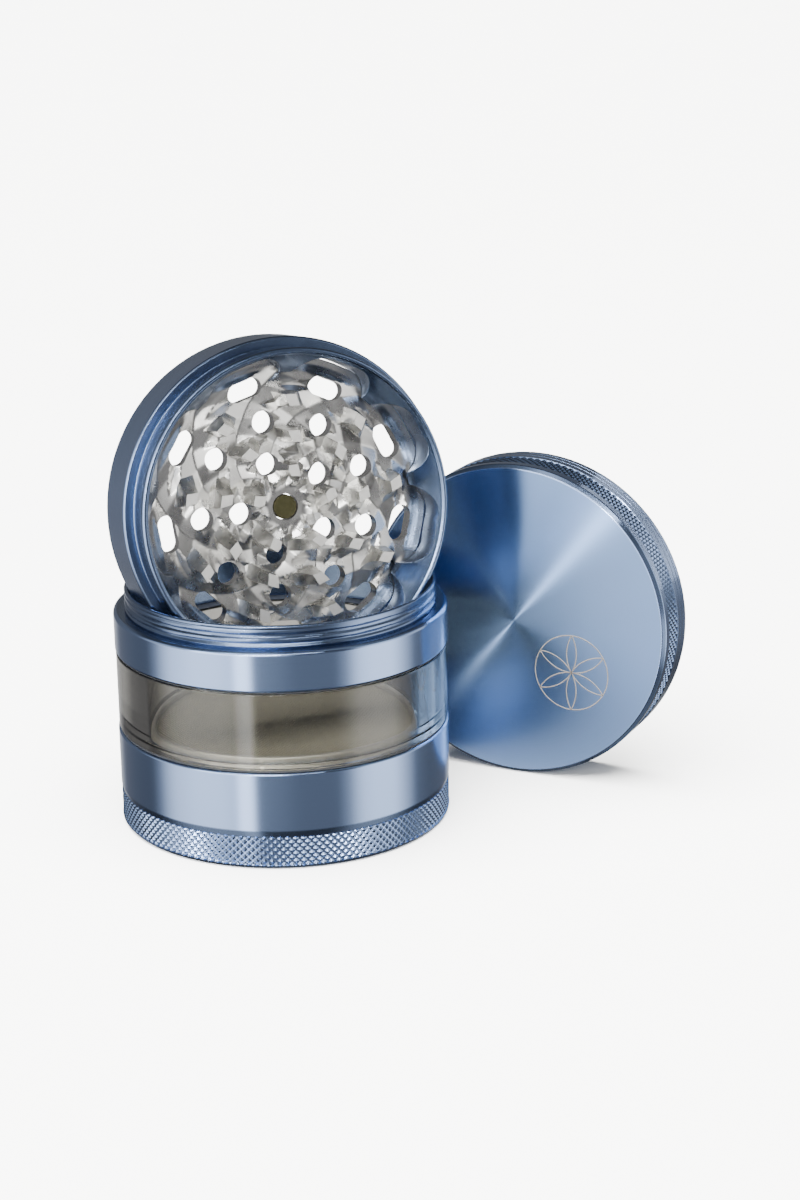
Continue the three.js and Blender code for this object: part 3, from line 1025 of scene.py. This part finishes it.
class GRINDER_OT_chamber(Builder):
    """Threaded skirt below the glass and threaded collar above it."""

    bl_idname = "grinder.chamber"
    bl_label = "Chamber metal"

    def execute(self, context):
        low, high = (corner.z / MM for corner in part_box("chamber_skirt"))
        foot = eased([
            (SKIRT_BORE_R, high), (SKIRT_BORE_R, low), (SKIRT_R - 0.3, low),
            (SKIRT_R, low + 0.3)], 0.12)
        rows = stacked(
            spread(foot[:-2], COLUMNS), thread_band(low + 0.35, high - 0.3, SKIRT_R, 0.0),
            spread(np.array([[SKIRT_R, high - 0.1], [SKIRT_R - 0.1, high]]), COLUMNS))
        turned_piece("chamber_threaded_skirt", rows, UPRIGHT, "chamber", [wall_finish()],
                     ["chamber_skirt"])
        shoulder = eased([
            (MOUTH_R, COLLAR_FOOT), (OUTER_R - 0.25, COLLAR_FOOT),
            (OUTER_R, COLLAR_FOOT + 0.25), (OUTER_R, COLLAR_TOP - 0.5, 0.5),
            (OUTER_R - 0.6, COLLAR_TOP, 0.4), (29.1, COLLAR_TOP, 0.1),
            (28.98, COLLAR_TOP + 0.15, 0.05), (LIP_R, COLLAR_TOP + 0.5, 0)])
        mouth = eased([
            (LIP_R, LIP_TOP - 0.55, 0), (LIP_R, LIP_TOP - 0.25, 0.2),
            (LIP_R - 0.25, LIP_TOP, 0.15), (MOUTH_R + 0.15, LIP_TOP, 0.1),
            (MOUTH_R, LIP_TOP - 0.2, 0.1), (MOUTH_R, COLLAR_FOOT + 1, 0)])
        rows = stacked(
            spread(shoulder[:-2], COLUMNS),
            thread_band(COLLAR_TOP + 0.3, LIP_TOP - 0.6, LIP_R, COLLAR_THREAD_START),
            spread(mouth[1:-1], COLUMNS))
        obj = turned_piece(
            "chamber_threaded_collar", rows, UPRIGHT, "chamber",
            [wall_finish(), shaded_bright_anodised("anodised_bright_shaded")],
            ["chamber_collar"])
        # The collar's lip and mouth take the darker polished finish, whose colour is painted shade
        # under the ring
        lip = int(np.argmax(shoulder[:, 1] > COLLAR_TOP - 0.1))
        banded(obj, COLUMNS, (lip, len(rows[0]), 1))
        return {"FINISHED"}


class GRINDER_OT_screen(Builder):
    """Woven wire screen in two layers of wires, and the ring that holds it."""

    bl_idname = "grinder.screen"
    bl_label = "Screen"

    def execute(self, context):
        # A real screen of this kind has wires about 0.2 mm apart, too fine to show.
        # The pitch is drawn coarser, and the wires thicker, so that the weave shows.
        pitch, radius = sizes().screen_pitch / MM, sizes().wire / MM / 2
        low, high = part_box("screen_mesh")
        reach, middle = high.x / MM, (low.z + high.z) / 2 / MM
        weave, lift = math.radians(WEAVE_ANGLE), radius * WEAVE_LIFT
        layers = [
            wire_layer(reach, pitch, radius, middle - lift, weave),
            wire_layer(reach, pitch, radius, middle + lift, weave + math.pi / 2)]
        mesh = shaded(mesh_of("screen_wires", joined(*layers), UPRIGHT), 70)
        piece("screen_wires", mesh, "chamber", [screen_steel("screen_steel")],
              ["screen_mesh"])
        low, high = (corner.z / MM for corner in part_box("screen_clamp_ring"))
        rows = spread(eased([
            (24.4, low, 0.1), (25.5, low, 0.1), (25.5, high, 0.45), (24.4, high, 0.6)]),
            COLUMNS)
        turned_piece("screen_ring", rows, UPRIGHT, "chamber",
                     [blasted_aluminium("blasted_aluminium")],
                     ["screen_clamp_ring"])
        return {"FINISHED"}


class GRINDER_OT_window(Builder):
    """Thick glass tube with broken edges."""

    bl_idname = "grinder.window"
    bl_label = "Window"

    def execute(self, context):
        low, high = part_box("window_glass")
        outer = high.x / MM
        z0, z1 = low.z / MM, high.z / MM
        rows = spread(eased([
            (GLASS_BORE_R, z0), (outer, z0), (outer, z1), (GLASS_BORE_R, z1)], 0.3, 5),
            COLUMNS)
        turned_piece("window_tube", rows, UPRIGHT, "chamber",
                     [window_glass("window_glass")], ["window_glass"], 60)
        return {"FINISHED"}


class GRINDER_OT_ring(Builder):
    """Grinding ring's shell: band, stepped lip and a leaning inner wall with a
    flute over each slot of its floor."""

    bl_idname = "grinder.ring"
    bl_label = "Ring shell"

    def execute(self, context):
        columns = RING_COLUMNS
        outside = eased([
            (28.3, POCKET_Z, 0), (28.3, -3.9, 0), (29.9, -3.9, 0)])
        rear = thread_band(-4.4, RING_BACK + 0.6, 29.9, 0.0, columns, inner=True)
        front = eased([
            (29.9, RING_BACK + 0.35, 0.1), (30.25, RING_BACK, 0.1),
            (OUTER_R - 0.3, RING_BACK), (OUTER_R, RING_BACK + 0.3),
            (OUTER_R, -0.35), (OUTER_R - 0.35, 0, 0.12), (29.6, 0, 0.08), (29.45, 0.15, 0.05),
            (29.45, 1.25, 0.05), (29.7, 1.5, 0.1), (29.7, RING_LIP - 0.35, 0.2),
            (29.35, RING_LIP, 0.15), (28.95, RING_LIP, 0.1), (28.85, 5.75, 0.05),
            (WALL_TOP_R, 5.6, 0.05), (WALL_TOP_R - 0.15, WALL_TOP_Z, 0)], 0.18)
        depth = np.linspace(WALL_TOP_Z, POCKET_Z + 0.02, WALL_ROWS)[:, None]
        share = (depth - POCKET_Z) / (WALL_TOP_Z - POCKET_Z)
        wall = WALL_FOOT_R + (WALL_TOP_R - 0.15 - WALL_FOOT_R) * share ** WALL_BOW
        turn = np.arange(columns) * TURN / columns - math.radians(SLOT_START)
        step = TURN / SLOT_COUNT
        reach = slot_reach(
            (turn + step / 2) % step - step / 2, FLUTE_HALF_STRAIGHT, FLUTE_HALF_WIDTH)
        inner = np.maximum(wall, reach), depth + np.zeros(columns)
        rows = stacked(
            spread(outside[:-1], columns), rear, spread(front[1:-2], columns), inner)
        obj = turned_piece(
            "ring_body", rows, RING, "ring",
            [wall_finish(), shaded_bright_anodised("anodised_bright_shaded")],
            ["ring_shell"], 24)
        # The ring's lip and inner wall take the darker polished finish, whose colour is painted
        # shade in the recess
        shoulder = int(np.argmax(front[:, 1] > -0.4))
        lip = len(outside) - 1 + len(rear[0]) + shoulder - 1
        banded(obj, columns, (lip, len(rows[0]), 1))
        return {"FINISHED"}


class GRINDER_OT_ring_floor(Builder):
    """Milled floor of the ring: ramps, teeth, round holes, slots and the magnet."""

    bl_idname = "grinder.ring_floor"
    bl_label = "Ring floor"

    def execute(self, context):
        columns = FLOOR_COLUMNS
        turn = np.arange(columns) * TURN / columns
        out = np.linspace(27.8, 0.4, FLOOR_ROWS)[:, None]
        relief = PLATE_FRONT + floor_relief(out, turn)
        rim = np.array([[0, PLATE_BACK], [27.9, PLATE_BACK], [28, PLATE_BACK + 0.1],
                        [28, PLATE_FRONT - 0.1], [27.95, PLATE_FRONT]])
        rows = stacked(
            spread(rim, columns), (out + np.zeros(columns), relief),
            spread(np.array([[0, PLATE_FRONT]]), columns))
        plate = mesh_of("floor", revolved(*rows), RING)
        teeth = [fins(row, PLATE_FRONT - 0.6, TOOTH_TOP) for row in RING_TEETH]
        plate = carved(plate, mesh_of("teeth", outward(joined(*teeth)), RING), "UNION")
        slots = (SLOT_COUNT, SLOT_R, SLOT_START)
        cutters = [prism(round_ended(slots, SLOT_LENGTH, SLOT_WIDTH),
                         PLATE_BACK - 1, PLATE_FRONT + 1.6)]
        cutters += [prism(discs(row, HOLE_R), PLATE_BACK - 1.1, PLATE_FRONT + 8)
                    for row in RING_HOLES]
        cutters.append(
            prism(discs((1, 0.0, 0.0), MAGNET_POCKET_R), PLATE_BACK - 1.2, PLATE_FRONT + 1))
        plate = carved(plate, mesh_of("cuts", outward(joined(*cutters)), RING), "DIFFERENCE")
        plate.name = "ring_milled_floor"
        obj = piece(
            "ring_milled_floor", shaded(plate, 25), "ring",
            [milled_aluminium("milled_aluminium"), faced_aluminium("faced_aluminium")],
            ["ring_tooth_plate"])
        faced(obj, RING, TOOTH_TOP)
        magnet_rows = spread(eased([
            (0, PLATE_FRONT - MAGNET_DEPTH), (MAGNET_R, PLATE_FRONT - MAGNET_DEPTH),
            (MAGNET_R, PLATE_FRONT), (0, PLATE_FRONT)], 0.15), MAGNET_COLUMNS)
        turned_piece("ring_disc_magnet", magnet_rows, RING, "ring_hub",
                     [nickel_plate("nickel_plate")], ["ring_magnet"])
        return {"FINISHED"}


class GRINDER_OT_lid(Builder):
    """Lid's shell: turned face, knurled band, two fine grooves and the cavity."""

    bl_idname = "grinder.lid"
    bl_label = "Lid shell"

    def execute(self, context):
        columns = sizes().knurl_count * KNURL_SAMPLES
        inside = eased([
            (0, -2.2), (28.4, -2.2, 0.3), (28.4, -5.2, 0.2), (30, -5.6, 0.2),
            (30, LID_BACK + 0.35, 0.1), (30.35, LID_BACK, 0.1),
            (OUTER_R - 0.3, LID_BACK), (OUTER_R, LID_BACK + 0.3),
            (OUTER_R, -10.5, 0), (OUTER_R - 0.14, -10.4, 0.03), (OUTER_R, -10.3, 0),
            (OUTER_R, -9.0, 0), (OUTER_R - 0.14, -8.9, 0.03), (OUTER_R, -8.8, 0),
            (OUTER_R, -7.35, 0.05), (31.3, -7.25, 0.03)])
        face = eased([
            (31.3, -2.55, 0.03), (OUTER_R, -2.45, 0.05), (OUTER_R, -0.7, 0.15),
            (OUTER_R - 0.7, 0, 0.15), (1.2, 0, 0), (0.5, -0.03, 0), (0, -0.05)])
        face = np.concatenate([face[:-1], [[0, -0.05]]])
        knurl = knurl_band(-7.2, -2.6, KNURL_R)
        rows = stacked(spread(inside, columns), knurl, spread(face, columns))
        # The face rows take the lid-face finish, whose darker colour is painted shade
        obj = turned_piece(
            "lid_body", rows, LID, "lid",
            [wall_finish(), knurled_anodised("anodised_knurled"), shaded_face_finish()],
            ["lid_shell"])
        first = len(inside) - 2
        middle = first + len(knurl[0]) + 1
        flat = middle + int(np.argmax(face[:, 1] > -0.001))
        # The last two rows of faces are the fans on the axis: the cavity's, then the face's
        whole = len(obj.data.polygons) // columns
        banded(obj, columns, (first, middle, 1), (flat, whole - 2, 2), (whole - 1, whole, 2))
        return {"FINISHED"}


class GRINDER_OT_lid_floor(Builder):
    """Milled plate inside the lid: teeth, the middle boss and its magnet."""

    bl_idname = "grinder.lid_floor"
    bl_label = "Lid floor"

    def execute(self, context):
        rows = spread(eased([
            (0, LID_BOSS_TIP), (3.8, LID_BOSS_TIP, 0.25), (3.8, LID_PLATE_BOTTOM, 0.4),
            (28.1, LID_PLATE_BOTTOM, 0.1), (28.1, LID_PLATE_TOP, 0.1),
            (0, LID_PLATE_TOP)]), COLUMNS)
        plate = mesh_of("floor", revolved(*rows), LID)
        teeth = [fins(row, -LID_PLATE_BOTTOM - 0.6, -LID_TOOTH_TIP, flip=-1)
                 for row in LID_TEETH]
        plate = carved(plate, mesh_of("teeth", outward(joined(*teeth)), LID), "UNION")
        recess = prism(discs((1, 0.0, 0.0), MAGNET_POCKET_R), LID_BOSS_TIP - 1, LID_BOSS_TIP + 2.2)
        plate = carved(plate, mesh_of("recess", recess, LID), "DIFFERENCE")
        plate.name = "lid_milled_floor"
        obj = piece(
            "lid_milled_floor", shaded(plate, 25), "lid",
            [milled_aluminium("milled_aluminium"), faced_aluminium("faced_aluminium")],
            ["lid_tooth_plate"])
        faced(obj, LID, LID_TOOTH_TIP)
        magnet_rows = spread(eased([
            (0, LID_BOSS_TIP), (MAGNET_R, LID_BOSS_TIP),
            (MAGNET_R, LID_BOSS_TIP + MAGNET_DEPTH), (0, LID_BOSS_TIP + MAGNET_DEPTH)],
            0.15), MAGNET_COLUMNS)
        turned_piece("lid_disc_magnet", magnet_rows, LID, "lid_hub",
                     [nickel_plate("nickel_plate")], ["lid_magnet"])
        return {"FINISHED"}


class GRINDER_OT_lid_mark(Builder):
    """Plain six-petal rosette in a circle, engraved on the lid."""

    bl_idname = "grinder.lid_mark"
    bl_label = "Lid mark"

    def execute(self, context):
        centre = np.array(MARK_CENTRE)
        width = sizes().mark_line / MM
        t = np.linspace(0, TURN, 120, endpoint=False)
        circle = centre + MARK_R * np.stack([np.cos(t), np.sin(t)], 1)
        strips = [ribbon(circle, width, *MARK_SPAN, True)]
        for petal in range(MARK_PETALS):
            heart = TURN * petal / MARK_PETALS + TURN / 12
            s = np.linspace(heart + TURN / 3, heart + 2 * TURN / 3, 40)
            middle = centre + MARK_R * np.array([math.cos(heart), math.sin(heart)])
            path = middle + MARK_R * np.stack([np.cos(s), np.sin(s)], 1)
            strips.append(ribbon(path, width, *MARK_SPAN, False))
        mesh = mesh_of("lid_rosette", joined(*strips), LID)
        piece("lid_rosette", mesh, "lid", [engraved_line("engraved_line")])
        return {"FINISHED"}


def softbox(name, azimuth, elevation, distance, size, watts, roll):
    """An area lamp that looks at the object's middle from an azimuth (0 is the
    front, 90 the right) and an elevation in degrees, and is turned by roll about
    its own line of sight; its size is in metres."""
    a, e = math.radians(azimuth), math.radians(elevation)
    away = Vector((math.sin(a) * math.cos(e), -math.cos(a) * math.cos(e), math.sin(e)))
    data = bpy.data.lights.new(name, "AREA")
    data.shape, data.size, data.size_y, data.energy = "RECTANGLE", *size, watts
    lamp = bpy.data.objects.new(name, data)
    bpy.context.scene.collection.objects.link(lamp)
    lamp.location = Vector(LAMP_TARGET) + away * distance
    square = away.to_track_quat("Z", "Y").to_matrix()
    lamp.rotation_euler = (square @ Matrix.Rotation(math.radians(roll), 3, "Z")).to_euler()


def light_bands(ramp, bands):
    """Gives a colour ramp its bands of light, each a position and a linear RGB."""
    stops = ramp.color_ramp.elements
    stops[0].position, stops[1].position = bands[0][0], bands[-1][0]
    for stop, (_, colour) in zip(stops, (bands[0], bands[-1])):
        stop.color = (*colour, 1)
    for position, colour in bands[1:-1]:
        stops.new(position).color = (*colour, 1)
    return ramp.outputs[0]


def panel_bands(panels):
    """Bands of light all round for a set of panels. Position 0 is behind, 0.5 the
    front and 1 behind again. Blue is shade (1 + tint (1 - shade)^8)."""
    bands = [
        (azimuth / 360 + 0.5, (shade, shade, shade * (1 + DARK_TINT * (1 - shade) ** 8)))
        for azimuth, shade in panels[1:]]
    behind = (panels[0][1],) * 3
    return [(0.0, behind), *bands, (1.0, behind)]


def studio_world():
    """Pale panels and dark flags round the object, told apart by azimuth, one
    set below eye level and one above; they dim straight down and straight up. The
    camera sees a plain pale surround instead."""
    world = bpy.data.worlds.new("studio")
    bpy.context.scene.world = world
    world.use_nodes = True
    tree = world.node_tree
    tree.nodes.clear()
    direction = add_node(tree, "ShaderNodeTexCoord").outputs["Generated"]
    x, y, z = add_node(tree, "ShaderNodeSeparateXYZ", {0: direction}).outputs
    front = add_node(tree, "ShaderNodeMath", {0: y, 1: -1.0}, operation="MULTIPLY")
    angle = add_node(tree, "ShaderNodeMath", {0: x, 1: front.outputs[0]},
                     operation="ARCTAN2")
    turn = add_node(tree, "ShaderNodeMath", {
        0: angle.outputs[0], 1: 1 / TURN, 2: 0.5}, operation="MULTIPLY_ADD")
    lower, upper = (
        light_bands(add_node(tree, "ShaderNodeValToRGB", {0: turn.outputs[0]}),
                    panel_bands(panels))
        for panels in (LOWER_PANELS, UPPER_PANELS))
    above = add_node(tree, "ShaderNodeMapRange", {
        "Value": z, "From Min": EYE_LEVEL[0], "From Max": EYE_LEVEL[1]})
    colour = add_node(tree, "ShaderNodeMix", {
        "Factor": above.outputs[0], "A": lower, "B": upper}, data_type="RGBA")
    height = add_node(tree, "ShaderNodeMath", {0: z, 1: 0.5, 2: 0.5},
                      operation="MULTIPLY_ADD")
    share = light_bands(
        add_node(tree, "ShaderNodeValToRGB", {0: height.outputs[0]}),
        [(position, (level,) * 3) for position, level in HEIGHT_SHARES])
    strength = add_node(tree, "ShaderNodeMath", {0: share, 1: PANEL_STRENGTH},
                        operation="MULTIPLY")
    panels = add_node(tree, "ShaderNodeBackground", {
        "Color": colour.outputs[2], "Strength": strength.outputs[0]})
    plain = add_node(tree, "ShaderNodeBackground", {
        "Color": (1, 1, 1, 1), "Strength": BACKDROP_STRENGTH})
    path = add_node(tree, "ShaderNodeLightPath")
    both = add_node(tree, "ShaderNodeMixShader", {
        0: path.outputs["Is Camera Ray"], 1: panels.outputs[0], 2: plain.outputs[0]})
    add_node(tree, "ShaderNodeOutputWorld", {"Surface": both.outputs[0]})


def table():
    """Flat table just under the cup's foot. Mirrors and glass don't see it, so that
    the metal and the glass keep their depth."""
    corners = np.array([[-1, -1], [1, -1], [1, 1], [-1, 1]]) * TABLE_REACH
    faces = [np.array([[0, 1, 2, 3]])]
    verts = np.column_stack([corners, np.full(4, TABLE_Z)])
    mesh = mesh_of("table", (verts, faces, plain_uv(faces)), UPRIGHT)
    mesh.materials.append(pale_floor("pale_floor"))
    obj = bpy.data.objects.new("table", mesh)
    bpy.context.scene.collection.objects.link(obj)
    obj.visible_glossy = obj.visible_transmission = False


def wash():
    """Very wide, soft light from above that mirrors don't see."""
    data = bpy.data.lights.new("wash", "SUN")
    data.energy, data.angle = WASH_STRENGTH, math.radians(WASH_SPREAD)
    lamp = bpy.data.objects.new("wash", data)
    bpy.context.scene.collection.objects.link(lamp)
    lamp.rotation_euler = (*(math.radians(x) for x in WASH_TILT), 0)
    lamp.visible_glossy = False


def camera():
    """Camera at the front, turned right and down, and rolled."""
    data = bpy.data.cameras.new("camera")
    data.lens, data.sensor_width = CAMERA_LENS, CAMERA_SENSOR
    data.clip_start, data.clip_end = CAMERA_CLIP
    obj = bpy.data.objects.new("camera", data)
    bpy.context.scene.collection.objects.link(obj)
    obj.location = CAMERA_PLACE
    yaw, pitch, roll = (math.radians(x) for x in CAMERA_TURN)
    obj.rotation_euler = (
        Matrix.Rotation(-yaw, 3, "Z") @ Matrix.Rotation(math.pi / 2 - pitch, 3, "X")
        @ Matrix.Rotation(-roll, 3, "Z")).to_euler()
    bpy.context.scene.camera = obj


class GRINDER_OT_stage(Builder):
    """Pale floor, studio light and the camera."""

    bl_idname = "grinder.stage"
    bl_label = "Stage"

    def execute(self, context):
        table()
        studio_world()
        for lamp in LAMPS:
            softbox(*lamp)
        wash()
        camera()
        return {"FINISHED"}


OPERATORS = (
    GRINDER_OT_cup, GRINDER_OT_seals, GRINDER_OT_chamber, GRINDER_OT_screen,
    GRINDER_OT_window, GRINDER_OT_ring, GRINDER_OT_ring_floor, GRINDER_OT_lid,
    GRINDER_OT_lid_floor, GRINDER_OT_lid_mark, GRINDER_OT_stage)


class GRINDER_PT_panel(bpy.types.Panel):
    """Sizes, colours and pieces of the grinder."""

    bl_idname = "GRINDER_PT_panel"
    bl_label = "Grinder"
    bl_space_type = "VIEW_3D"
    bl_region_type = "UI"
    bl_category = "Grinder"

    def draw(self, context):
        for group in (context.scene.grinder_sizes, context.scene.grinder_colours):
            for name in group.__annotations__:
                self.layout.prop(group, name)
        for kind in OPERATORS:
            self.layout.operator(kind.bl_idname)


CLASSES = (GrinderSizes, GrinderColours, *OPERATORS, GRINDER_PT_panel)


def register():
    """Adds the classes and the two groups of settings to Blender."""
    for kind in CLASSES:
        bpy.utils.register_class(kind)
    bpy.types.Scene.grinder_sizes = PointerProperty(type=GrinderSizes)
    bpy.types.Scene.grinder_colours = PointerProperty(type=GrinderColours)


def unregister():
    """Takes them out again."""
    del bpy.types.Scene.grinder_sizes
    del bpy.types.Scene.grinder_colours
    for kind in reversed(CLASSES):
        bpy.utils.unregister_class(kind)


def main():
    """Builds every piece and the stage."""
    register()
    for kind in OPERATORS:
        getattr(bpy.ops.grinder, kind.bl_idname.split(".")[1])()


if __name__ == "__main__":
    main()
